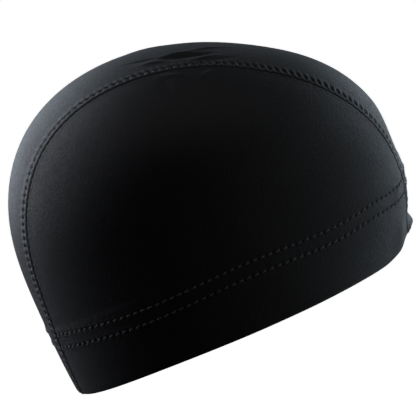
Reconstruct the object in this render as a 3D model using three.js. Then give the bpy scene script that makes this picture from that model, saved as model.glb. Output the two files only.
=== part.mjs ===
import * as THREE from 'three';

// A close-fitting wig cap of black stretch cloth, as it sits on a head. A long panel runs from the
// forehead over the crown to the nape, a domed panel joins it on each side, and the whole edge is
// turned up inside as a deep hem. Millimetres. The cap is drawn in the frame of its own opening:
// +X to the wearer's left, -Y to the forehead, +Z away from the plane of the opening.

// The shape that the stretched cloth takes
const OPENING_TILT = 22.5; // degrees, the opening rises this much from the nape to the forehead
const MIDDLE_HEIGHT = 73; // middle of the dome, above the plane of the opening
const HALF_BREADTH = 77.2; // at the widest place, over the ears
const NAPE_DROP = 8.2; // the edge dips this far under that plane at the nape
const FRONT_DROP = 7.9; // and this far towards the forehead
const HALF_LENGTH = 92; // where those two dips are measured
const FRONT_LIFT = 9.4; // the edge springs back up over the middle of the forehead
const LIFT_REACH = 43.5; // from the middle to where that lift ends

// Where the cloth stands off the dome or sinks under it, in the middle of the forehead or the nape.
// rise: outwards at its strongest; reach: sideways to where it ends; height: of its strongest place
// over the edge; spread: up and down from there to where it ends
const SWELLS = [
  { over: 'forehead', rise: 3.5, reach: 22, height: 0, spread: 9 }, // the edge flares
  { over: 'forehead', rise: -1.7, reach: 30, height: 46, spread: 20 }, // flat above the hem
  { over: 'nape', rise: -1.5, reach: 33, height: 0, spread: 110 }, // flat between the seams
];

// The cloth
const CLOTH = 1.2; // wall of a panel
const LINER = 1.0; // wall of what lies inside it: the turned-up hem and the seam allowances
const SEAM_GAP = 0.3; // between two panels
const LAYER_GAP = 0.4; // between a panel and what lies inside it
const HEM_DEPTH = 36; // from the edge to the raw edge inside
const ALLOWANCE_WIDTH = 6; // the allowance lies flat under the centre panel

// A row for each section through the dome, taken round its middle in the plane of symmetry.
// angle: degrees from the crown, positive to the forehead and negative to the nape; even steps
// reach: from the middle to the outer face
// panel: half the width of the centre panel
const SECTIONS = [
  { angle: -180, reach: 200, panel: 14 },
  { angle: -150, reach: 164, panel: 16.5 },
  { angle: -120, reach: 114, panel: 25 },
  { angle: -90, reach: 95.6, panel: 30.7 },
  { angle: -60, reach: 83.9, panel: 32.6 },
  { angle: -30, reach: 69, panel: 33.3 },
  { angle: 0, reach: 59.7, panel: 33.8 },
  { angle: 30, reach: 59.4, panel: 34.2 },
  { angle: 60, reach: 69.9, panel: 35.7 },
  { angle: 90, reach: 92.4, panel: 34.5 },
  { angle: 120, reach: 108.6, panel: 20 },
  { angle: 150, reach: 137.3, panel: 13.5 },
];
const SHOULDER_ANGLE = 75; // where a side panel's seam counts as its top, either way from the crown

// How finely each piece is faceted
const CENTER_CELLS = { along: 56, across: 7 };
const SIDE_CELLS = { along: 30, up: 15 };
const HEM_CELLS = { round: 96, up: 7 };
const ALLOWANCE_CELLS = { along: 40, across: 1 };
const CENTER_CROWDING = 0.6; // the center panel's cells are this much shorter at its two ends
const HEM_CROWDING = 1.8; // power by which the hem's cells crowd towards the edge

const CLOTH_COLOR = 0x17171a;
const CLOTH_ROUGHNESS = 0.55;

// Where a place on the dome is looked for
const SEARCH_STEPS = 40; // halvings
const END_ANGLES = [60, 165]; // degrees from the crown, between which a lengthwise line ends
const EDGE_DISTANCES = [10, 200]; // from the upright axis, between which the dome is met
const SLOPE_STEP = 0.01; // over which the dome's slope is measured

const radians = THREE.MathUtils.degToRad;
const middle = new THREE.Vector3(0, 0, MIDDLE_HEIGHT);

// 1 at the centre, falling smoothly to 0 at the given width
function fade(distance, width) {
  return 0.5 + 0.5 * Math.cos(Math.PI * Math.min(1, Math.abs(distance) / width));
}

// A smooth closed curve through one column of the table
function smoothColumn(name) {
  const count = SECTIONS.length;
  const step = radians(360 / count);
  const values = SECTIONS.map((row) => row[name]);
  const bends = new Array(count).fill(0);
  for (let pass = 0; pass < SEARCH_STEPS; pass++) {
    for (let i = 0; i < count; i++) {
      const before = (i + count - 1) % count;
      const after = (i + 1) % count;
      const turn = values[before] - 2 * values[i] + values[after];
      bends[i] = (6 * turn - bends[before] - bends[after]) / 4;
    }
  }
  return (angle) => {
    const place = ((angle - radians(SECTIONS[0].angle)) / step + count) % count;
    const i = Math.floor(place);
    const next = (i + 1) % count;
    const t = place - i;
    const s = 1 - t;
    return s * values[i] + t * values[next] + ((s ** 3 - s) * bends[i] + (t ** 3 - t) * bends[next]) / 6;
  };
}

const reachAt = smoothColumn('reach');
const panelAt = smoothColumn('panel');

// How far out of the dome a point lies: 1 on it, less inside
function fullness(point) {
  const forward = -point.y;
  const up = point.z - MIDDLE_HEIGHT;
  const reach = reachAt(Math.atan2(forward, up));
  return Math.hypot(point.x / HALF_BREADTH, Math.hypot(forward, up) / reach);
}

// Where a line from the middle through a point meets the dome
function onDome(point) {
  const ray = point.clone().sub(middle);
  return ray.divideScalar(fullness(point)).add(middle);
}

// The dome's point at an angle from the crown and a distance to the side
function domeAt(angle, x) {
  const spread = reachAt(angle) * Math.sqrt(1 - (x / HALF_BREADTH) ** 2);
  return new THREE.Vector3(x, -spread * Math.sin(angle), MIDDLE_HEIGHT + spread * Math.cos(angle));
}

function outward(point) {
  const slope = (axis) => {
    const ahead = point.clone();
    const behind = point.clone();
    ahead[axis] += SLOPE_STEP;
    behind[axis] -= SLOPE_STEP;
    return fullness(ahead) - fullness(behind);
  };
  return new THREE.Vector3(slope('x'), slope('y'), slope('z')).normalize();
}

// Height of the cap's edge over the plane of the opening. It keeps straight over the ears and
// turns down close to the nape.
function edgeHeight(x, y) {
  if (y > 0) {
    return -NAPE_DROP * (y / HALF_LENGTH) ** 3;
  }
  return FRONT_LIFT * fade(x, LIFT_REACH) - FRONT_DROP * (y / HALF_LENGTH) ** 2;
}

// How far the cloth stands off the dome
function relief(point) {
  const place = point.y > 0 ? 'nape' : 'forehead';
  const above = Math.max(0, point.z - edgeHeight(point.x, point.y));
  let sum = 0;
  for (const swell of SWELLS.filter((row) => row.over === place)) {
    sum += swell.rise * fade(point.x, swell.reach) * fade(above - swell.height, swell.spread);
  }
  return sum;
}

// A point of the cloth, so far under its outer face
function inCloth(point, depth) {
  return point.clone().addScaledVector(outward(point), relief(point) - depth);
}

// The value between two limits where a test turns true
function turningPoint(low, high, test) {
  for (let i = 0; i < SEARCH_STEPS; i++) {
    const half = (low + high) / 2;
    if (test(half)) {
      high = half;
    } else {
      low = half;
    }
  }
  return (low + high) / 2;
}

// The angle where a lengthwise line comes down to a height over the edge; toward: 1 forehead, -1 nape
function endAngle(sideways, toward, height) {
  const falls = (turn) => {
    const point = domeAt(toward * turn, sideways(toward * turn));
    return point.z - edgeHeight(point.x, point.y) < height;
  };
  return toward * turningPoint(...END_ANGLES.map(radians), falls);
}

// The dome's point at a height over the edge, in a direction seen from above; heading 0 is the nape
function aroundAt(heading, height) {
  const at = (distance) => {
    const x = distance * Math.sin(heading);
    const y = distance * Math.cos(heading);
    return new THREE.Vector3(x, y, edgeHeight(x, y) + height);
  };
  return at(turningPoint(...EDGE_DISTANCES, (distance) => fullness(at(distance)) > 1));
}

// A closed solid of cloth between two depths, from a grid of points on the dome. A looped grid
// joins its last column to its first.
function clothMesh(name, { along, across }, looped, pointAt, depths) {
  const columns = looped ? along : along + 1;
  const positions = [];
  for (const depth of depths) {
    for (let i = 0; i < columns; i++) {
      for (let j = 0; j <= across; j++) {
        const point = inCloth(pointAt(i / along, j / across), depth);
        positions.push(point.x, point.y, point.z);
      }
    }
  }
  const corner = (face, i, j) => (face * columns + (i % columns)) * (across + 1) + j;
  const triangles = [];
  const quad = (a, b, c, d) => triangles.push(a, b, c, a, c, d);
  for (let i = 0; i < along; i++) {
    for (let j = 0; j < across; j++) {
      quad(corner(0, i, j), corner(0, i + 1, j), corner(0, i + 1, j + 1), corner(0, i, j + 1));
      quad(corner(1, i, j), corner(1, i, j + 1), corner(1, i + 1, j + 1), corner(1, i + 1, j));
    }
    quad(corner(0, i, 0), corner(1, i, 0), corner(1, i + 1, 0), corner(0, i + 1, 0));
    quad(corner(0, i, across), corner(0, i + 1, across), corner(1, i + 1, across), corner(1, i, across));
  }
  for (let j = 0; j < across && !looped; j++) {
    quad(corner(0, 0, j), corner(0, 0, j + 1), corner(1, 0, j + 1), corner(1, 0, j));
    quad(corner(0, along, j), corner(1, along, j), corner(1, along, j + 1), corner(0, along, j + 1));
  }
  if (enclosed(positions, triangles) < 0) {
    triangles.reverse();
  }

  const geometry = new THREE.BufferGeometry();
  geometry.setAttribute('position', new THREE.Float32BufferAttribute(positions, 3));
  geometry.setIndex(triangles);
  geometry.computeVertexNormals();
  const look = { color: CLOTH_COLOR, roughness: CLOTH_ROUGHNESS, metalness: 0 };
  const material = new THREE.MeshStandardMaterial(look);
  const mesh = new THREE.Mesh(geometry, material);
  mesh.name = name;
  return mesh;
}

// Six times the volume that the triangles enclose, negative where they face inwards
function enclosed(positions, triangles) {
  const at = (k) => new THREE.Vector3().fromArray(positions, 3 * triangles[k]);
  let sum = 0;
  for (let k = 0; k < triangles.length; k += 3) {
    sum += at(k).dot(at(k + 1).cross(at(k + 2)));
  }
  return sum;
}

// The long panel over the crown, from edge to edge
function centerPanel() {
  const turn = 2 * Math.PI;
  const crowded = (along) => along - CENTER_CROWDING * Math.sin(turn * along) / turn;
  const pointAt = (along, across) => {
    const share = 2 * across - 1;
    const sideways = (angle) => share * (panelAt(angle) - SEAM_GAP / 2);
    const ends = [endAngle(sideways, -1, 0), endAngle(sideways, 1, 0)];
    const angle = THREE.MathUtils.lerp(...ends, crowded(along));
    return domeAt(angle, sideways(angle));
  };
  return clothMesh('center_panel', CENTER_CELLS, false, pointAt, [0, CLOTH]);
}

// A domed side panel. Its grid is a patch between four lines: the edge of the cap, and the seam in
// three stretches, up from the nape, over the top and up from the forehead. side: 1 left, -1 right
function sidePanel(name, side) {
  const sideways = (angle) => side * (panelAt(angle) + SEAM_GAP / 2);
  const seamAt = (angle) => domeAt(angle, sideways(angle));
  const shoulder = radians(SHOULDER_ANGLE);
  const napeEnd = endAngle(sideways, -1, 0);
  const frontEnd = endAngle(sideways, 1, 0);
  const heading = (point) => Math.atan2(point.x, point.y);
  const napeHeading = heading(seamAt(napeEnd));
  const frontHeading = heading(seamAt(frontEnd));
  const { lerp } = THREE.MathUtils;
  const lineAt = {
    edge: (s) => aroundAt(lerp(napeHeading, frontHeading, s), 0),
    top: (s) => seamAt(lerp(-shoulder, shoulder, s)),
    nape: (t) => seamAt(lerp(napeEnd, -shoulder, t)),
    front: (t) => seamAt(lerp(frontEnd, shoulder, t)),
  };
  const pointAt = (s, t) => {
    if (s === 0) {
      return lineAt.nape(t);
    }
    if (s === 1) {
      return lineAt.front(t);
    }
    if (t === 0) {
      return lineAt.edge(s);
    }
    if (t === 1) {
      return lineAt.top(s);
    }
    const between = (a, b, share) => a.clone().lerp(b, share);
    const upright = between(lineAt.edge(s), lineAt.top(s), t);
    const level = between(lineAt.nape(t), lineAt.front(t), s);
    const low = between(lineAt.edge(0), lineAt.edge(1), s);
    const high = between(lineAt.top(0), lineAt.top(1), s);
    return onDome(upright.add(level).sub(between(low, high, t)));
  };
  const cells = { along: SIDE_CELLS.along, across: SIDE_CELLS.up };
  return clothMesh(name, cells, false, pointAt, [0, CLOTH]);
}

// The hem: the cloth below the fold, turned up inside and stitched through two rows
function turnedHem() {
  const pointAt = (round, up) => aroundAt(2 * Math.PI * round, HEM_DEPTH * up ** HEM_CROWDING);
  const outer = CLOTH + LAYER_GAP;
  const cells = { along: HEM_CELLS.round, across: HEM_CELLS.up };
  return clothMesh('turned_hem', cells, true, pointAt, [outer, outer + LINER]);
}

// The cut edges of a seam, folded towards the crown and stitched flat inside the centre panel
function seamAllowance(name, side) {
  const clear = HEM_DEPTH + 2 * LAYER_GAP;
  const pointAt = (along, across) => {
    const sideways = (angle) => side * (panelAt(angle) - across * ALLOWANCE_WIDTH);
    const ends = [endAngle(sideways, -1, clear), endAngle(sideways, 1, clear)];
    const angle = THREE.MathUtils.lerp(...ends, along);
    return domeAt(angle, sideways(angle));
  };
  const outer = CLOTH + LAYER_GAP;
  return clothMesh(name, ALLOWANCE_CELLS, false, pointAt, [outer, outer + LINER]);
}

const cap = new THREE.Group();
cap.add(centerPanel());
cap.add(sidePanel('side_panel_right', -1));
cap.add(sidePanel('side_panel_left', 1));
cap.add(turnedHem());
cap.add(seamAllowance('seam_allowance_right', -1));
cap.add(seamAllowance('seam_allowance_left', 1));

// Worn level, the opening climbs towards the forehead; the part's origin is the middle of the opening
cap.rotation.x = -radians(OPENING_TILT);

const wigCap = new THREE.Group();
wigCap.add(cap);

export default wigCap;
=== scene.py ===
"""A wig cap of black stretch knit, held in its worn form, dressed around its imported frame."""
import math

import bpy
import numpy as np
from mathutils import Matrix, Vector


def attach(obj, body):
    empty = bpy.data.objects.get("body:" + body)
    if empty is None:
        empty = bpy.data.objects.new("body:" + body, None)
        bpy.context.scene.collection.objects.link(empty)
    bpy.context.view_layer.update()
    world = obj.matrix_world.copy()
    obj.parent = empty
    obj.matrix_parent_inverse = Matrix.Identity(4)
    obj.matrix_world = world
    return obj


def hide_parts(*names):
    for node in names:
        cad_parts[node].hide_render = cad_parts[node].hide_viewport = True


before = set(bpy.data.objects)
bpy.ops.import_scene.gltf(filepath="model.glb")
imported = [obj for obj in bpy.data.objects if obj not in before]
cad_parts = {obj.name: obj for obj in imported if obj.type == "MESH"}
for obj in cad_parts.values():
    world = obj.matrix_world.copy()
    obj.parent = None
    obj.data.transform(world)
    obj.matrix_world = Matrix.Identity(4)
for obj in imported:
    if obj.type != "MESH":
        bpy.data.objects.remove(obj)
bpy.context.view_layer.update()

# Sizes are in millimetres until to_row() turns them to metres in the row's frame. The cap is drawn
# in the frame of its own opening, as the solids are: +X to the wearer's left, -Y to the forehead,
# +Z away from the plane of the opening. Points are arrays whose last axis is x, y, z.
MM = 0.001

# The shape that the stretched cloth takes, as in the solids
OPENING_TILT = math.radians(22.5)
MIDDLE_HEIGHT = 73.0
HALF_BREADTH = 77.2
NAPE_DROP = 8.2
FRONT_DROP = 7.9
HALF_LENGTH = 92.0
FRONT_LIFT = 9.4
LIFT_REACH = 43.5

# Sections round the dome's middle, every 30 degrees from -180, the crown at 0 and the forehead
# positive: the dome's reach, and half the width of the center panel
REACHES = (200, 164, 114, 95.6, 83.9, 69, 59.7, 59.4, 69.9, 92.4, 108.6, 137.3)
PANEL_HALF_WIDTHS = (14, 16.5, 25, 30.7, 32.6, 33.3, 33.8, 34.2, 35.7, 34.5, 20, 13.5)

# Where the cloth stands off the dome or sinks under it, in the middle of the forehead or the nape:
# toward, rise, reach sideways, height over the edge, spread up and down
SWELLS = (
    ("forehead", 3.5, 22.0, 0.0, 8.0),
    ("forehead", -1.7, 30.0, 46.0, 20.0),
    ("forehead", -1.25, 24.0, 8.0, 9.0),
    ("nape", -1.5, 33.0, 0.0, 110.0),
)

# The layers of cloth, as depths under the outer face
WALL = 1.3
LINER_INSIDE = 2.6
ALLOWANCE_OUTSIDE = 1.4
HEM_DEPTH = 36.0
ALLOWANCE_WIDTH = 6.0
LAYER_GAP = 0.8

# The hem's sewing: two rows of stitches at heights over the edge, and how far the cloth stands up
# over the turned-up hem
HEM_STITCH = 3.9
HEM_ROWS = (26.5, 33.4)
HEM_RISE = 0.25
HEM_RISE_FADE = 3.5

# How far the hem's rows run above their even heights, every 15 degrees from nape to forehead
ROW_WAVES = (1.2, 1.2, 0.3, -1.0, -1.0, 0.0, 0.8, 0.2, -0.7, -0.2, 1.5, -1.0, -3.4)

# The seams' sewing: a row of stitches beside each seam, at a distance from it on the center panel,
# and how far the cloth stands up over the allowance
SEAM_STITCH = 3.55
SEAM_ROW = 3.0
SEAM_RISE = 0.45
SEAM_RISE_FADE = 6.5


def fade(distance, width):
    """1 at the centre, falling smoothly to 0 at the given width."""
    return 0.5 + 0.5 * np.cos(np.pi * np.minimum(1, np.abs(distance) / width))


def hump(distance, width):
    """A soft bump of height 1 that is about twice the given width across."""
    return np.exp(-(distance / width) ** 2)


def smooth_column(values):
    """A smooth closed curve through the values, which stand at even steps of angle from -180."""
    values = np.array(values, float)
    count = len(values)
    links = 4 * np.eye(count) + np.roll(np.eye(count), 1, 0) + np.roll(np.eye(count), -1, 0)
    turns = np.roll(values, 1) - 2 * values + np.roll(values, -1)
    bends = np.linalg.solve(links, 6 * turns)

    def at(angle):
        place = ((angle + np.pi) / (2 * np.pi / count)) % count
        i = np.floor(place).astype(int) % count
        after = (i + 1) % count
        t = place - np.floor(place)
        s = 1 - t
        bend = ((s ** 3 - s) * bends[i] + (t ** 3 - t) * bends[after]) / 6
        return s * values[i] + t * values[after] + bend

    return at


reach_at = smooth_column(REACHES)
panel_at = smooth_column(PANEL_HALF_WIDTHS)
wave_at = smooth_column(ROW_WAVES[:0:-1] + ROW_WAVES[:-1])


def angle_of(points):
    """The angle round the dome's middle, seen from the side: 0 at the crown."""
    return np.arctan2(-points[..., 1], points[..., 2] - MIDDLE_HEIGHT)


def fullness(points):
    """How far out of the dome a point lies: 1 on it."""
    across = np.hypot(points[..., 1], points[..., 2] - MIDDLE_HEIGHT)
    return np.hypot(points[..., 0] / HALF_BREADTH, across / reach_at(angle_of(points)))


def on_dome(points):
    """Where the line from the dome's middle through each point meets the dome."""
    middle = np.array([0, 0, MIDDLE_HEIGHT])
    return middle + (points - middle) / fullness(points)[..., None]


def dome_at(angle, x):
    """The dome's points at an angle from the crown and at x."""
    spread = reach_at(angle) * np.sqrt(1 - (x / HALF_BREADTH) ** 2)
    up = MIDDLE_HEIGHT + spread * np.cos(angle)
    return np.stack([x + 0 * angle, -spread * np.sin(angle), up], -1)


def outward(points):
    """The way out of the dome at each point, of length 1."""
    small = 0.01
    slopes = []
    for axis in range(3):
        step = small * np.eye(3)[axis]
        slopes.append(fullness(points + step) - fullness(points - step))
    normals = np.stack(slopes, -1)
    return normals / np.linalg.norm(normals, axis=-1, keepdims=True)


def edge_height(points):
    """Height of the cap's edge over the plane of the opening, where a point stands."""
    x, y = points[..., 0], points[..., 1]
    nape = -NAPE_DROP * (y / HALF_LENGTH) ** 3
    front = FRONT_LIFT * fade(x, LIFT_REACH) - FRONT_DROP * (y / HALF_LENGTH) ** 2
    return np.where(y > 0, nape, front)


def over_edge(points):
    """Height of each point over the cap's edge."""
    return np.maximum(0, points[..., 2] - edge_height(points))


def relief(points):
    """How far the cloth stands off the dome."""
    above = over_edge(points)
    total = np.zeros(above.shape)
    for toward, rise, reach, height, spread in SWELLS:
        here = (points[..., 1] > 0) == (toward == "nape")
        total += here * rise * fade(points[..., 0], reach) * fade(above - height, spread)
    return total


# The searches for a point on the dome: number of halvings, and the angles from the crown and the
# distances between which the point lies
SEARCH_STEPS = 36
SEARCH_ANGLES = (math.radians(60), math.radians(165))
SEARCH_REACHES = (10.0, 200.0)


def end_angle(shares, toward, height):
    """The angle where lengthwise lines come down to a height over the edge. shares: of the center
    panel's half width; toward: 1 forehead, -1 nape."""
    low, high = [np.full(np.broadcast(shares, height).shape, angle) for angle in SEARCH_ANGLES]
    for _ in range(SEARCH_STEPS):
        half = (low + high) / 2
        point = dome_at(toward * half, shares * panel_at(toward * half))
        below = point[..., 2] - edge_height(point) < height
        high = np.where(below, half, high)
        low = np.where(below, low, half)
    return toward * (low + high) / 2


def around_at(heading, height):
    """The dome's points at heights over the edge, in directions seen from above, 0 at the nape."""
    heading, height = np.broadcast_arrays(heading, height)

    def at(distance):
        flat = np.stack([distance * np.sin(heading), distance * np.cos(heading), 0 * height], -1)
        flat[..., 2] = edge_height(flat) + height
        return flat

    low, high = [np.full(heading.shape, distance) for distance in SEARCH_REACHES]
    for _ in range(SEARCH_STEPS):
        half = (low + high) / 2
        outside = fullness(at(half)) > 1
        high = np.where(outside, half, high)
        low = np.where(outside, low, half)
    return at((low + high) / 2)


def heading_of(points):
    """The direction of each point seen from above: 0 at the nape, pi at the forehead."""
    return np.arctan2(points[..., 0], points[..., 1])


def lengths_along(line):
    """The distance from the first point of a line to each of its points."""
    steps = np.linalg.norm(np.diff(line, axis=0), axis=-1)
    return np.concatenate([[0], np.cumsum(steps)])


def crowded(length, zones, fine, coarse, zone_width):
    """Shares from 0 to 1 of a length, in coarse steps that turn fine close to each zone."""
    places = [0.0]
    while places[-1] < length:
        away = min(abs(places[-1] - zone) for zone in zones)
        places.append(places[-1] + fine + (coarse - fine) * min(1, away / zone_width) ** 2)
    places = np.array(places)
    return places / places[-1]


# How many points a seam, a hem row and the line at the top of a side panel's hem are measured at
SEAM_POINTS = 900
ROW_POINTS = 1441
TOP_POINTS = 400

# The seams, as one line from nape to forehead on the wearer's left; the right one is its mirror
seam_ends = [float(end_angle(np.array(1.0), toward, 0.0)) for toward in (-1, 1)]
seam_angles = np.linspace(*seam_ends, SEAM_POINTS)
seam_line = dome_at(seam_angles, panel_at(seam_angles))
seam_lengths = lengths_along(seam_line)

# The hem's two rows of stitches, as lengths along each row by heading
row_headings = np.linspace(-np.pi, np.pi, ROW_POINTS)
row_lines = [around_at(row_headings, height + wave_at(row_headings)) for height in HEM_ROWS]
row_lengths = [lengths_along(line) for line in row_lines]


def from_seam(points):
    """Distance to the nearest seam, and the length along it, for points on either side."""
    flat = np.abs(points.reshape(-1, 3) * (1, 0, 0)) + points.reshape(-1, 3) * (0, 1, 1)
    distance, along = np.empty(len(flat)), np.empty(len(flat))
    batch = 2000
    for start in range(0, len(flat), batch):
        here = slice(start, start + batch)
        part = flat[here]
        apart = ((part[:, None] - seam_line[None]) ** 2).sum(-1)
        nearest = np.clip(apart.argmin(1), 1, len(seam_line) - 2)
        way = seam_line[nearest + 1] - seam_line[nearest - 1]
        way /= np.linalg.norm(way, axis=-1, keepdims=True)
        offset = part - seam_line[nearest]
        forward = (offset * way).sum(-1)
        distance[here] = np.sqrt(np.maximum(0, (offset ** 2).sum(-1) - forward ** 2))
        along[here] = seam_lengths[nearest] + forward
    return distance.reshape(points.shape[:-1]), along.reshape(points.shape[:-1])


def pitch_of(length, stitch):
    """The stitch length that fits a whole number of times into a row."""
    return length / round(length / stitch)


def needle_holes(along, pitch, width):
    """1 at each needle hole of a row of stitches and 0 between them."""
    away = np.abs((along / pitch + 0.5) % 1 - 0.5) * pitch
    return hump(away, width)


# Folds in the stretched cloth over the crown, as lines on a chart of the dome whose one side is the
# angle from the crown in degrees and whose other side is x: from, to, half width, height
CROWN_FOLDS = (
    ((3, -17.2), (24, -14.8), 1.5, 0.85),
    ((16, -14.8), (42, -6.5), 1.5, 0.60),
    ((5, -21.0), (33, -19.2), 1.9, -1.45),
    ((-6, -20.8), (10, -23.0), 1.2, 0.70),
    ((-13, -14.0), (8, -18.6), 1.0, -0.55),
    ((18, -27.2), (37, -20.6), 1.2, 0.60),
    ((24, -30.0), (44, -22.5), 1.2, -0.40),
    ((0, -36.2), (15, -39.4), 1.5, 0.55),
    ((21, -44.5), (31, -36.4), 1.4, 0.65),
    ((3, -37.5), (4, -50.0), 2.2, -0.45),
    ((16, -42.0), (20, -52.0), 2.4, -0.45),
    ((-14, 24.0), (16, 18.5), 2.0, 0.50),
    ((-10, 28.5), (12, 22.5), 1.6, -0.50),
    ((6, 36.5), (-8, 41.0), 1.6, 0.40),
)
CROWN_RADIUS = 60.0
FOLD_REACH = 0.62


def crown_folds(points):
    """Height of the folds over the crown."""
    chart = np.stack([angle_of(points) * CROWN_RADIUS, points[..., 0]], -1)
    total = np.zeros(points.shape[:-1])
    for start, end, width, height in CROWN_FOLDS:
        a, b = [np.array([math.radians(angle) * CROWN_RADIUS, x]) for angle, x in (start, end)]
        way = b - a
        length = np.linalg.norm(way)
        way /= length
        offset = chart - (a + b) / 2
        forward = offset @ way
        aside = offset @ np.array([-way[1], way[0]])
        total += height * hump(aside, width) * fade(forward, FOLD_REACH * length)
    return total


# Where the hem puffs out by the seams, at the forehead: x, height over the edge, half width, half
# height, rise
HEM_PUFFS = (
    (29.0, 7.0, 5.0, 9.0, 0.95),
    (31.0, 30.0, 4.0, 4.0, 0.4),
)


def ground(points):
    """How far the cloth stands off the dome, apart from its sewing. The turned-up hem lifts it."""
    above = over_edge(points)
    step = HEM_RISE * fade(np.maximum(0, above - HEM_DEPTH), HEM_RISE_FADE)
    total = relief(points) + crown_folds(points) + step
    for x, height, width, tallness, rise in HEM_PUFFS:
        puff = rise * hump(np.abs(points[..., 0]) - x, width) * hump(above - height, tallness)
        total += np.where(points[..., 1] < 0, puff, 0)
    return total


# The groove along each of the hem's rows, its needle holes, and the ridges on both sides of it
HEM_GROOVE = 0.05
HEM_GROOVE_WIDTH = 0.55
HEM_HOLE = 0.3
HEM_HOLE_WIDTH = 0.48
HEM_RIDGE = 0.1
HEM_RIDGE_AWAY = 1.1
HEM_RIDGE_WIDTH = 0.6


def sewn_hem(points):
    """Height of the cloth at the hem's rows of stitches, which draw it in at each needle hole."""
    above = over_edge(points)
    heading = heading_of(points)
    total = np.zeros(above.shape)
    for height, lengths in zip(HEM_ROWS, row_lengths):
        along = np.interp(heading, row_headings, lengths)
        holes = needle_holes(along, pitch_of(lengths[-1], HEM_STITCH), HEM_HOLE_WIDTH)
        away = above - height - wave_at(heading)
        total -= (HEM_GROOVE + HEM_HOLE * holes) * hump(away, HEM_GROOVE_WIDTH)
        total += HEM_RIDGE * (1 - holes) * hump(np.abs(away) - HEM_RIDGE_AWAY, HEM_RIDGE_WIDTH)
    return total


# The groove where the panels meet, how much it deepens at each stitch, and how the center panel
# rolls down into it
SEAM_GROOVE = 0.12
SEAM_GROOVE_RIPPLE = 0.08
SEAM_GROOVE_WIDTH = 0.3
SEAM_ROLL = 0.7
SEAM_ROLL_WIDTH = 0.9

# The holes of the seam's row, which slant, and the ridges that the cloth bunches up in between them
SEAM_SLANT = 0.35
SEAM_HOLE = 0.6
SEAM_HOLE_WIDTH = 0.85
SEAM_HOLE_REACH = 1.0
SEAM_RIDGE = 0.34
SEAM_RIDGE_AWAY = 1.8
SEAM_RIDGE_WIDTH = 1.5

# Where the seam's stitches pull hardest, over the front of the crown: the middle of that stretch,
# along the seam from the nape, and its half length. The holes there are deeper and longer.
PULLED_ALONG = 262
PULLED_LENGTH = 48
PULLED_HOLE = 0.3
PULLED_HOLE_AWAY = 0.5
PULLED_RIDGE_LESS = 0.12

# On the side panel's edge of the seam, each stitch leaves a small ridge
EDGE_RIDGE = 0.08
EDGE_RIDGE_AWAY = 1.2
EDGE_RIDGE_WIDTH = 0.8
EDGE_HOLE_WIDTH = 0.7


def sewn_seam(distance, along, center):
    """Height of the cloth beside a seam. The center panel stands up over the allowance, and the row
    of stitches draws it in at each needle hole and leaves small ridges across between them."""
    pitch = pitch_of(seam_lengths[-1], SEAM_STITCH)
    groove = SEAM_GROOVE + SEAM_GROOVE_RIPPLE * np.cos(2 * np.pi * along / pitch)
    total = -groove * hump(distance, SEAM_GROOVE_WIDTH)
    if center:
        beyond = distance - SEAM_ROW
        holes = needle_holes(along + SEAM_SLANT * beyond, pitch, SEAM_HOLE_WIDTH)
        rolled = 1 - SEAM_ROLL * hump(distance, SEAM_ROLL_WIDTH)
        total += SEAM_RISE * fade(distance, SEAM_RISE_FADE) * rolled
        pulled = hump(along - PULLED_ALONG, PULLED_LENGTH)
        ridge = (SEAM_RIDGE - PULLED_RIDGE_LESS * pulled) * (1 - holes)
        total += ridge * hump(beyond - SEAM_RIDGE_AWAY - pulled, SEAM_RIDGE_WIDTH)
        hole = (SEAM_HOLE + PULLED_HOLE * pulled) * holes
        total -= hole * hump(beyond - PULLED_HOLE_AWAY * pulled, SEAM_HOLE_REACH + pulled)
    else:
        holes = needle_holes(along, pitch, EDGE_HOLE_WIDTH)
        total += EDGE_RIDGE * (1 - holes) * hump(distance - EDGE_RIDGE_AWAY, EDGE_RIDGE_WIDTH)
    return total


def cloth_face(points, center):
    """The outer face of the cloth over points of the dome, of the center panel or a side panel."""
    height = ground(points) + sewn_hem(points) + sewn_seam(*from_seam(points), center)
    return points + outward(points) * height[..., None]


def under_face(points, depth):
    """Points under the outer face, which has none of its sewing or folds there."""
    return points + outward(points) * (relief(points) - depth)[..., None]


def to_row(points):
    """From the opening's frame in millimetres to the row's frame in metres."""
    x, y, z = np.moveaxis(np.asarray(points, float), -1, 0)
    c, s = math.cos(OPENING_TILT), math.sin(OPENING_TILT)
    return np.stack([x, y * c + z * s, z * c - y * s], -1) * MM


# Faces that meet at more than this are shaded as an edge
SHARP_ANGLE = math.radians(50)


def new_piece(name, points, faces, material, uv=None):
    """A mesh object from points in the opening's frame. faces: arrays of corners, one for each
    count of corners; uv: a place on the cloth for each point, in millimetres."""
    mesh = bpy.data.meshes.new(name)
    corners = np.concatenate([face.ravel() for face in faces])
    counts = np.concatenate([np.full(len(face), face.shape[1]) for face in faces])
    mesh.vertices.add(len(points))
    mesh.vertices.foreach_set("co", to_row(points).astype(np.float32).ravel())
    mesh.loops.add(len(corners))
    mesh.loops.foreach_set("vertex_index", corners.astype(np.int32))
    mesh.polygons.add(len(counts))
    starts = np.concatenate([[0], np.cumsum(counts)[:-1]])
    mesh.polygons.foreach_set("loop_start", starts.astype(np.int32))
    if uv is not None:
        layer = mesh.uv_layers.new(name="cloth")
        layer.uv.foreach_set("vector", (uv[corners] * MM).astype(np.float32).ravel())
    mesh.update(calc_edges=True)
    mesh.validate()
    mesh.polygons.foreach_set("use_smooth", np.ones(len(mesh.polygons), bool))
    mesh.set_sharp_from_angle(angle=SHARP_ANGLE)
    mesh.materials.append(material)
    piece = bpy.data.objects.new(name, mesh)
    bpy.context.scene.collection.objects.link(piece)
    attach(piece, "root")
    return piece


# How many columns of a grid give way to one where it is thinned
THINNING = 4


def thinned(index, where):
    """A grid of point numbers in which every few columns give way to one, where asked."""
    first = np.arange(index.shape[1]) // THINNING * THINNING
    return np.where(where & where[:, first], index[:, first], index)


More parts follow.
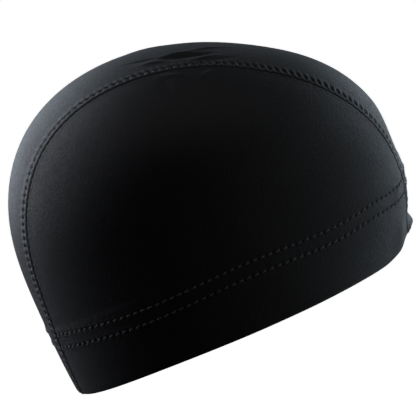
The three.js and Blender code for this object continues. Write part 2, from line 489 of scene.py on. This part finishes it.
def thinned_inside(index):
    """A coarser grid of point numbers with the same rim, for a face that hides or is plain."""
    inside = np.zeros(index.shape, bool)
    inside[1:-1, 1:-1] = True
    return thinned(thinned(index, inside).T, inside.T).T


def grid_faces(index):
    """The quads and triangles of a grid of point numbers, without the cells that have collapsed."""
    cells = np.stack([index[:-1, :-1], index[1:, :-1], index[1:, 1:], index[:-1, 1:]], -1)
    cells = cells.reshape(-1, 4)
    same = cells == np.roll(cells, -1, 1)
    crossed = (cells[:, 0] == cells[:, 2]) | (cells[:, 1] == cells[:, 3])
    triangles = []
    for corner in range(4):
        kept = [k for k in range(4) if k != corner]
        triangles.append(cells[same[:, corner] & (same.sum(1) == 1) & ~crossed][:, kept])
    return cells[~same.any(1) & ~crossed], np.concatenate(triangles)


def shell(name, outer, inner, outer_index, inner_index, uv):
    """A closed solid of cloth between two faces whose grids of point numbers have one rim."""
    total = outer.size // 3
    quads, triangles = grid_faces(outer_index)
    edges = [np.stack([faces, np.roll(faces, -1, 1)], -1) for faces in (quads, triangles)]
    edges = np.concatenate([pairs.reshape(-1, 2) for pairs in edges])
    forwards = edges[:, 0] * total + edges[:, 1]
    backwards = edges[:, 1] * total + edges[:, 0]
    rim = edges[~np.isin(forwards, backwards)]
    walls = np.stack([rim[:, 1], rim[:, 0], rim[:, 0] + total, rim[:, 1] + total], -1)
    inner_quads, inner_triangles = grid_faces(inner_index)
    quads = np.concatenate([quads, inner_quads[:, ::-1] + total, walls])
    triangles = np.concatenate([triangles, inner_triangles[:, ::-1] + total])
    named = np.concatenate([quads.ravel(), triangles.ravel()])
    used, numbers = np.unique(named, return_inverse=True)
    quads, triangles = numbers[:quads.size].reshape(-1, 4), numbers[quads.size:].reshape(-1, 3)
    points = np.concatenate([outer.reshape(-1, 3), inner.reshape(-1, 3)])[used]
    # The faces point outward where the volume that they enclose comes out positive
    corners = points[quads]
    spans = np.cross(corners[:, 1] - corners[:, 0], corners[:, 2] - corners[:, 0])
    if (spans * corners[:, 0]).sum() < 0:
        quads, triangles = quads[:, ::-1], triangles[:, ::-1]
    uv = np.concatenate([uv.reshape(-1, 2)] * 2)[used]
    faces = [some for some in (quads, triangles) if len(some)]
    return new_piece(name, points, faces, knit, uv)


# The panels' grids: a fine step close to stitches or a seam, a coarse one away from them, and the
# distance over which the step grows
HEM_GRID = (0.25, 1.0, 3.0)
PANEL_GRID = (0.15, 0.9, 6.0)
ROUND_GRID = (0.15, 0.34, 6.0)
CLIMB_GRID = (0.2, 1.3, 7.0)

# The even steps of the other grids and the columns across an allowance, the height where the hem's
# rows end, the rows round the fold, and the width beside a seam in which a grid isn't thinned
LENGTH_STEP = 0.5
GIRTH_STEP = 0.6
ALLOWANCE_STEP = 0.9
ALLOWANCE_COLUMNS = 9
HEM_GRID_TOP = 40.0
FOLD_STEPS = 7
FOLD_START = 88
SEWN_WIDTH = 7


def hem_rows_up():
    """Heights over the edge and depths of the grid's rows from the fold up: round the fold, then up
    the hem in steps that turn fine at its rows of stitches."""
    turns = np.radians(np.linspace(FOLD_START, 0, FOLD_STEPS))
    heights = WALL * (1 - np.sin(turns))
    depths = WALL * (1 - np.cos(turns))
    tall = HEM_GRID_TOP - WALL
    up = WALL + crowded(tall, [row - WALL for row in HEM_ROWS], *HEM_GRID)[1:] * tall
    return np.concatenate([heights, up]), np.concatenate([depths, np.zeros(len(up))])


# Functions for the shader graphs

def linear(code):
    """An sRGB hex colour as linear RGBA."""
    parts = [int(code[k:k + 2], 16) / 255 for k in (1, 3, 5)]
    return [c / 12.92 if c <= 0.04045 else ((c + 0.055) / 1.055) ** 2.4 for c in parts] + [1]


def new_material(name):
    """A material with no nodes yet."""
    material = bpy.data.materials.new(name)
    material.use_nodes = True
    material.node_tree.nodes.clear()
    return material


def add(material, kind, links=(), **settings):
    """Adds a node. links: its socket, the node it comes from and that node's socket; a setting is a
    property of the node or else the value of one of its inputs."""
    node = material.node_tree.nodes.new(kind)
    for name, value in settings.items():
        if hasattr(node, name):
            setattr(node, name, value)
        else:
            node.inputs[name.replace("_", " ")].default_value = value
    for socket, source, output in links:
        material.node_tree.links.new(source.outputs[output], node.inputs[socket])
    return node


def stretch_knit():
    """Nylon and elastane tricot, warp-knitted from shiny filament and dyed black. Fine wales run
    down it, and stretched over a form it has a soft satin gloss that grows towards the edges."""
    material = new_material("stretch_knit")
    place = add(material, "ShaderNodeUVMap", uv_map="cloth")
    # Millimetres from one wale to the next. A wave of Scale 1 repeats every pi / 10.
    wale = 0.45
    wales = add(material, "ShaderNodeTexWave", [("Vector", place, "UV")], bands_direction="X",
                Scale=math.pi / 10 / (wale * MM), Distortion=2.5, Detail=1.0, Detail_Scale=0.8)
    # Millimetres from one uneven place in the yarn to the next. The filaments' own are a tenth of
    # this, too fine to show, so they are drawn coarser.
    slub = 1.25
    anywhere = add(material, "ShaderNodeTexCoord")
    slubs = add(material, "ShaderNodeTexNoise", [("Vector", anywhere, "Object")],
                Scale=1 / (slub * MM), Detail=4.0, Roughness=0.6)
    bump = add(material, "ShaderNodeBump", [("Height", wales, "Fac")],
               Strength=0.3, Distance=0.0001)
    bump = add(material, "ShaderNodeBump", [("Height", slubs, "Fac"), ("Normal", bump, "Normal")],
               Strength=0.2, Distance=0.001)
    shade = add(material, "ShaderNodeValToRGB", [("Fac", slubs, "Fac")])
    shade.color_ramp.elements[0].color = linear("#121213")
    shade.color_ramp.elements[1].color = linear("#2c2c2f")
    gloss = add(material, "ShaderNodeMapRange", [("Value", slubs, "Fac")])
    gloss.inputs["From Min"].default_value = 0.35
    gloss.inputs["From Max"].default_value = 0.65
    gloss.inputs["To Min"].default_value = 0.46
    gloss.inputs["To Max"].default_value = 0.66
    looks = [("Base Color", shade, "Color"), ("Roughness", gloss, "Result"),
             ("Normal", bump, "Normal")]
    cloth = add(material, "ShaderNodeBsdfPrincipled", looks, IOR=1.45)
    cloth.inputs["Sheen Weight"].default_value = 0.1
    cloth.inputs["Sheen Roughness"].default_value = 0.4
    add(material, "ShaderNodeOutputMaterial", [("Surface", cloth, "BSDF")])
    return material


def sewing_thread():
    """Spun polyester sewing thread, dyed black. It is a little paler and duller than the knit."""
    material = new_material("sewing_thread")
    place = add(material, "ShaderNodeTexCoord")
    # Millimetres from one stray fibre of the spun thread to the next
    fibre = 0.4
    fuzz = add(material, "ShaderNodeTexNoise", [("Vector", place, "Object")],
               Scale=1 / (fibre * MM), Detail=2.0)
    bump = add(material, "ShaderNodeBump", [("Height", fuzz, "Fac")], Strength=0.3, Distance=0.0001)
    thread = add(material, "ShaderNodeBsdfPrincipled", [("Normal", bump, "Normal")], Roughness=0.6)
    thread.inputs["Base Color"].default_value = linear("#606064")
    thread.inputs["Sheen Weight"].default_value = 0.15
    add(material, "ShaderNodeOutputMaterial", [("Surface", thread, "BSDF")])
    return material


def floor_paint():
    """Matt white paint on a studio floor."""
    material = new_material("floor_paint")
    paint = add(material, "ShaderNodeBsdfPrincipled", Roughness=0.9)
    paint.inputs["Base Color"].default_value = linear("#f4f4f4")
    paint.inputs["Emission Color"].default_value = linear("#ffffff")
    paint.inputs["Emission Strength"].default_value = 1.0
    add(material, "ShaderNodeOutputMaterial", [("Surface", paint, "BSDF")])
    return material


knit = stretch_knit()
thread = sewing_thread()


# The pieces

def center_panel():
    """The long panel over the crown, from fold to fold."""
    heights, depths = hem_rows_up()
    width = 2 * float(panel_at(0.0))
    shares = 2 * crowded(width, [0, width], *PANEL_GRID) - 1
    rows = np.linspace(0, 1, round((seam_lengths[-1] - 2 * heights[-1]) / LENGTH_STEP))[1:-1]
    nape = end_angle(shares[None], -1, heights[:, None])
    front = end_angle(shares[None], 1, heights[::-1, None])
    between = nape[-1] + (front[0] - nape[-1]) * rows[:, None]
    angles = np.concatenate([nape, between, front])
    depth = np.concatenate([depths, np.zeros(len(rows)), depths[::-1]])[:, None]
    across = shares[None] * panel_at(angles)
    points = dome_at(angles, across)
    outer = cloth_face(points, center=True) - outward(points) * depth[..., None]
    inner = under_face(points, WALL + 0 * angles)
    along = lengths_along(points[:, len(shares) // 2])
    uv = np.stack(np.broadcast_arrays(across, along[:, None]), -1)
    index = np.arange(angles.size).reshape(angles.shape)
    plain = np.abs(across) < panel_at(angles) - SEWN_WIDTH
    plain[:len(heights)] = plain[-len(heights):] = False
    outer_index = thinned(index.T, plain.T).T
    piece = shell("center_panel_knit", outer, inner, outer_index, thinned_inside(index), uv)
    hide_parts("center_panel")
    return piece


def side_panel(name, side):
    """A domed side panel. Its grid climbs the hem in level rows and then fans out to the seam, so
    that it closes to a point where the hem meets the seam. side: 1 left, -1 right."""
    heights, depths = hem_rows_up()
    top = len(heights) - 1
    ends = []
    for way in (-1, 1):
        angles = end_angle(np.ones(heights.shape), way, heights)
        ends.append(dome_at(angles, panel_at(angles)))
    headings = [heading_of(end) for end in ends]
    top_headings = np.linspace(headings[0][top], headings[1][top], TOP_POINTS)
    top_length = lengths_along(around_at(top_headings, heights[top]))[-1]
    shares = crowded(top_length, [0, top_length], *ROUND_GRID)
    heading = headings[0][:, None] + (headings[1] - headings[0])[:, None] * shares[None]
    hem = around_at(heading, heights[:, None])
    hem[:, 0], hem[:, -1] = ends
    reach = [float(end_angle(np.array(1.0), way, heights[top])) for way in (-1, 1)]
    lengths = np.interp(reach, seam_angles, seam_lengths)
    along = lengths[0] + shares * (lengths[1] - lengths[0])
    arc_angles = np.interp(along, seam_lengths, seam_angles)
    arc = dome_at(arc_angles, panel_at(arc_angles))
    tallness = np.linalg.norm(arc - hem[top], axis=-1)
    # The straight line to the seam, and a tenth for the dome's curve
    tallest = 1.1 * tallness.max()
    climb = crowded(tallest, [tallest], *CLIMB_GRID)[1:]
    dome = on_dome(hem[top][None] + (arc - hem[top])[None] * climb[:, None, None])
    dome[-1] = arc
    points = np.concatenate([hem, dome]) * (side, 1, 1)
    depth = np.concatenate([depths, np.zeros(len(dome))])[:, None]
    outer = cloth_face(points, center=False) - outward(points) * depth[..., None]
    inner = under_face(points, WALL + 0 * points[..., 0])
    x, y, z = np.moveaxis(points, -1, 0)
    uv = np.stack([np.hypot(x, y) * np.arctan2(y, np.abs(x)), z], -1)
    index = np.arange(points[..., 0].size).reshape(points.shape[:2])
    index[top + 1:, 0], index[top + 1:, -1] = index[top, 0], index[top, -1]
    to_seam = (1 - climb[:, None]) * tallness
    plain = np.zeros(index.shape, bool)
    plain[top + 3:-1, 1:-1] = to_seam[2:-1, 1:-1] > SEWN_WIDTH
    piece = shell(name + "_knit", outer, inner, thinned(index, plain), thinned_inside(index), uv)
    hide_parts(name)
    return piece


# The grooves of both rows of stitches on the hem's back, their needle holes, and a seam's groove
BACK_GROOVE = 0.1
BACK_GROOVE_WIDTH = 0.6
BACK_HOLE = 0.25
BACK_SEAM = 0.35
BACK_SEAM_WIDTH = 0.4


def turned_hem():
    """The cloth below the fold, turned up inside and drawn flat by both rows of stitches. The seams
    go on across it."""
    heights, depths = hem_rows_up()
    kept = heights < HEM_DEPTH
    heights = np.append(heights[kept], HEM_DEPTH)[:, None]
    depths = np.append(depths[kept], 0)[:, None]
    girth = row_lengths[0][-1]
    heading = np.linspace(-np.pi, np.pi, round(girth / GIRTH_STEP) + 1)[None, :-1]
    points = around_at(heading, heights)
    lying = LINER_INSIDE - depths - BACK_SEAM * hump(from_seam(points)[0], BACK_SEAM_WIDTH)
    for row, lengths in zip(HEM_ROWS, row_lengths):
        along = np.interp(heading, row_headings, lengths)
        holes = needle_holes(along, pitch_of(lengths[-1], HEM_STITCH), BACK_GROOVE_WIDTH)
        away = heights - row - wave_at(heading)
        lying = lying - (BACK_GROOVE + BACK_HOLE * holes) * hump(away, BACK_GROOVE_WIDTH)
    inner = under_face(points, lying)
    outer = under_face(points, WALL + 0 * lying)
    uv = np.stack(np.broadcast_arrays(heading / (2 * np.pi) * girth, heights), -1)
    index = np.arange(lying.size).reshape(lying.shape)
    index = np.concatenate([index, index[:, :1]], 1)
    piece = shell("turned_hem_knit", inner, outer, index, thinned_inside(index), uv)
    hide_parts("turned_hem")
    return piece


def under_seam(side, rows, across):
    """Points of the dome that the seam's allowance lies under. rows: shares of its length; across:
    millimetres from the seam."""
    clear = HEM_DEPTH + LAYER_GAP
    shares = 1 - across / float(panel_at(0.0))
    nape, front = [end_angle(shares, way, clear) for way in (-1, 1)]
    angles = nape + (front - nape) * rows
    return dome_at(angles, side * (panel_at(angles) - across))


# How far the cut edge of an allowance ripples under its overlock thread, and how much of its width
# that thread covers
ALLOWANCE_RIPPLE = 0.12
OVERLOCK_FROM = 2.6
OVERLOCK_PAST = 0.1


def seam_allowance(name, side):
    """The cut edges of a seam, folded towards the crown and lying under the center panel."""
    across = np.linspace(0, ALLOWANCE_WIDTH, ALLOWANCE_COLUMNS)[None]
    length = seam_lengths[-1] - 2 * HEM_DEPTH
    rows = np.linspace(0, 1, round(length / ALLOWANCE_STEP))[:, None]
    points = under_seam(side, rows, across)
    waves = np.sin(2 * np.pi * rows * length / SEAM_STITCH)
    ripple = ALLOWANCE_RIPPLE * waves * across / ALLOWANCE_WIDTH
    outer = under_face(points, ALLOWANCE_OUTSIDE + 0 * ripple)
    inner = under_face(points, LINER_INSIDE + ripple)
    uv = np.stack(np.broadcast_arrays(across, rows * length), -1)
    index = np.arange(ripple.size).reshape(ripple.shape)
    piece = shell(name + "_knit", inner, outer, index, index, uv)
    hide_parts(name)
    return piece


# The threads. Pulled tight, a stitch lies in the cloth as a flattened oval. Its ends dive into the
# needle holes, and it slants a little across its row.
HEM_THREAD_RADIUS = 0.46
HEM_THREAD_RAISED = 0.24
SEAM_THREAD_RADIUS = 0.3
SEAM_THREAD_SUNK = 0.3
BACK_THREAD_RADIUS = 0.2
LOOPER_PROUD = 0.05
OVERLOCK_PROUD = 0.12
STITCH_FLATNESS = 0.55
STITCH_HALF = 0.46
STITCH_DIVE = 1.25
STITCH_SLANT = 0.6
STITCH_POINTS = 9
THREAD_SIDES = 8


def threads(name, lines, normals, radius, flatness=1.0):
    """Lengths of thread as one mesh of closed tubes. lines and normals: length, point, xyz."""
    ways = np.gradient(lines, axis=1)
    ways /= np.linalg.norm(ways, axis=-1, keepdims=True)
    aside = np.cross(ways, normals)
    aside /= np.linalg.norm(aside, axis=-1, keepdims=True)
    up = np.cross(aside, ways)
    turn = 2 * np.pi * np.arange(THREAD_SIDES)[:, None] / THREAD_SIDES
    ring = flatness * np.cos(turn) * up[:, :, None] + np.sin(turn) * aside[:, :, None]
    points = (lines[:, :, None] + radius * ring).reshape(-1, 3)
    index = np.arange(len(points)).reshape(*lines.shape[:2], THREAD_SIDES)
    beside = np.roll(index, -1, 2)
    quads = np.stack([index[:, :-1], beside[:, :-1], beside[:, 1:], index[:, 1:]], -1)
    caps = np.concatenate([index[:, 0, ::-1], index[:, -1]])
    return new_piece(name, points, [quads.reshape(-1, 4), caps], thread)


def stitched(name, place_at, length, stitch, raised, radius, spared=0):
    """A row of stitches. place_at gives points of the dome at lengths along the row and at a share
    of a stitch; each one comes out of a needle hole, lies on the cloth and goes into the next.
    spared: stitches left out at either end."""
    share = np.linspace(-STITCH_HALF, STITCH_HALF, STITCH_POINTS)
    pitch = pitch_of(length, stitch)
    middles = (np.arange(spared, round(length / pitch) - spared)[:, None] + 0.5) * pitch
    points = place_at(middles + share * pitch, share)
    normals = outward(points)
    lift = raised - STITCH_DIVE * (share / share[-1]) ** 2
    lines = points + normals * (ground(points) + lift)[..., None]
    return threads(name, lines, normals, radius, STITCH_FLATNESS)


def hem_stitches(name, height, lengths):
    """One of the hem's two rows, all round."""
    def place_at(along, share):
        heading = np.interp(along, lengths, row_headings)
        return around_at(heading, height + wave_at(heading) - STITCH_SLANT * share)

    length = lengths[-1]
    return stitched(name, place_at, length, HEM_STITCH, HEM_THREAD_RAISED, HEM_THREAD_RADIUS)


def seam_stitches(name, side):
    """The row beside a seam, which stops a stitch short of the fold at either end."""
    def place_at(along, share):
        angle = np.interp(along, seam_lengths, seam_angles)
        return dome_at(angle, side * (panel_at(angle) - SEAM_ROW - STITCH_SLANT * share))

    length = seam_lengths[-1]
    raised = SEAM_RISE - SEAM_THREAD_SUNK
    return stitched(name, place_at, length, SEAM_STITCH, raised, SEAM_THREAD_RADIUS, 1)


def zigzag(count, low, high):
    """Places along a thread that goes to and fro: its share of the way, and where it is across."""
    turn = 6  # points for each time to and fro
    steps = np.arange(turn * count + 1)
    swing = np.abs((steps / turn + 0.5) % 1 - 0.5) * 2
    return steps / steps[-1], low + (high - low) * swing


def hem_looper():
    """The hem's inside thread, which crosses from one row of stitches to the other and back."""
    count = round(row_lengths[0][-1] / HEM_STITCH)
    share, height = zigzag(count, *HEM_ROWS)
    heading = -np.pi + 2 * np.pi * share[:-1]
    points = around_at(heading, height[:-1] + wave_at(heading))[None]
    normals = outward(points)
    lines = under_face(points, LINER_INSIDE + LOOPER_PROUD + 0 * points[..., 0])
    return threads("hem_looper_thread", lines, normals, BACK_THREAD_RADIUS)


def overlock(name, side):
    """The overlock thread that binds the cut edges of a seam's allowance."""
    count = round((seam_lengths[-1] - 2 * HEM_DEPTH) / SEAM_STITCH)
    share, across = zigzag(count, OVERLOCK_FROM, ALLOWANCE_WIDTH + OVERLOCK_PAST)
    points = under_seam(side, share, across)[None]
    normals = outward(points)
    lines = under_face(points, LINER_INSIDE + OVERLOCK_PROUD + 0 * points[..., 0])
    return threads(name, lines, normals, BACK_THREAD_RADIUS)


SIDES = (("right", -1), ("left", 1))

center = center_panel()
side_panels = [side_panel("side_panel_" + word, side) for word, side in SIDES]
hem = turned_hem()
for word, side in SIDES:
    seam_allowance("seam_allowance_" + word, side)
    seam_stitches("seam_stitches_" + word, side)
    overlock("overlock_thread_" + word, side)
hem_sewing = [hem_looper()]
for word, height, lengths in zip(("lower", "upper"), HEM_ROWS, row_lengths):
    hem_sewing.append(hem_stitches("hem_stitches_" + word, height, lengths))


# The studio

# Where the camera stands, as angles and metres from the dome's middle
VIEW_AZIMUTH = math.radians(264)
VIEW_ELEVATION = math.radians(10.67)
VIEW_DISTANCE = 1.3
# Metres across the picture at the dome's middle, and from there to the middle of the picture
PICTURE_WIDTH = 0.2052
AIM_RIGHT = 0.0089
AIM_DOWN = 0.0224
SENSOR_WIDTH = 36
VIEW_END = 50

# The soft boxes: azimuth, elevation, distance, width, height, power, color. Cool white ones stand
# beside and behind the cap, as the camera sees it, and neutral ones before, above and below it.
COOL = (0.86, 1.0, 1.12)
PALE_BLUE = (0.96, 1.0, 1.12)
WHITE = (1.0, 1.0, 1.0)
SOFT_BOXES = {
    "nape": (150, 10, 1.3, 1.4, 1.4, 9.6, PALE_BLUE),
    "nape_behind": (118, 8, 1.4, 0.8, 1.0, 5.1, COOL),
    "nape_low": (150, -30, 1.4, 1.2, 0.8, 0.45, PALE_BLUE),
    "forehead": (20, 12, 1.4, 1.0, 1.4, 3.4, COOL),
    "forehead_behind": (50, 8, 1.4, 0.8, 1.0, 3.6, COOL),
    "forehead_low": (10, -30, 1.4, 1.2, 0.8, 2.1, COOL),
    "forehead_front": (320, 15, 1.4, 1.0, 1.2, 0.85, WHITE),
    "top": (264, 80, 1.3, 1.4, 1.0, 1.15, WHITE),
    "low": (300, -25, 1.4, 1.2, 0.8, 0.4, WHITE),
}

FLOOR_RADIUS = 40
FLOOR_HEIGHT = -0.6
FLOOR_CORNERS = 96


def direction(azimuth, elevation):
    """The way from the cap to something that stands at these angles, of length 1."""
    flat = math.cos(elevation)
    return Vector((math.sin(azimuth) * flat, -math.cos(azimuth) * flat, math.sin(elevation)))


def new_camera():
    """The camera, at the photo's angle and distance."""
    middle = Vector(to_row([0, 0, MIDDLE_HEIGHT]))
    toward = direction(VIEW_AZIMUTH, VIEW_ELEVATION)
    right = Vector((0, 0, 1)).cross(toward).normalized()
    up = toward.cross(right)
    aim = middle + AIM_RIGHT * right - AIM_DOWN * up
    data = bpy.data.cameras.new("camera")
    camera = bpy.data.objects.new("camera", data)
    bpy.context.scene.collection.objects.link(camera)
    camera.location = middle + VIEW_DISTANCE * toward
    camera.rotation_euler = (aim - camera.location).to_track_quat("-Z", "Y").to_euler()
    data.sensor_width = SENSOR_WIDTH
    data.lens = SENSOR_WIDTH * VIEW_DISTANCE / PICTURE_WIDTH
    data.clip_end = VIEW_END
    bpy.context.scene.camera = camera


def new_soft_box(name, azimuth, elevation, distance, width, height, power, color):
    """A soft box that faces the cap. Degrees, metres and watts."""
    middle = Vector(to_row([0, 0, MIDDLE_HEIGHT]))
    data = bpy.data.lights.new(name, "AREA")
    data.shape = "RECTANGLE"
    data.size, data.size_y = width, height
    data.energy = power
    data.color = color
    box = bpy.data.objects.new(name, data)
    bpy.context.scene.collection.objects.link(box)
    box.location = middle + distance * direction(math.radians(azimuth), math.radians(elevation))
    box.rotation_euler = (middle - box.location).to_track_quat("-Z", "Y").to_euler()
    box.visible_camera = False


def new_floor():
    """A wide pale floor, kept out of the light on the cap."""
    bpy.ops.mesh.primitive_circle_add(vertices=FLOOR_CORNERS, radius=FLOOR_RADIUS,
                                      fill_type="NGON", location=(0, 0, FLOOR_HEIGHT))
    floor = bpy.context.object
    floor.name = "studio_floor"
    floor.data.materials.append(floor_paint())
    floor.visible_diffuse = False
    floor.visible_glossy = False


def new_world():
    """White to the eye, and no light on the cap, so that the soft boxes alone shape it."""
    world = bpy.data.worlds.new("studio")
    world.use_nodes = True
    world.node_tree.nodes.clear()
    seen = add(world, "ShaderNodeBackground", Strength=1.0)
    seen.inputs["Color"].default_value = linear("#ffffff")
    lit = add(world, "ShaderNodeBackground", Strength=0.0)
    rays = add(world, "ShaderNodeLightPath")
    both = add(world, "ShaderNodeMixShader",
               [(0, rays, "Is Camera Ray"), (1, lit, "Background"), (2, seen, "Background")])
    add(world, "ShaderNodeOutputWorld", [("Surface", both, "Shader")])
    bpy.context.scene.world = world


new_camera()
for place, sizes in SOFT_BOXES.items():
    new_soft_box("soft_box_" + place, *sizes)
new_floor()
new_world()
bpy.context.scene.view_settings.view_transform = "Standard"
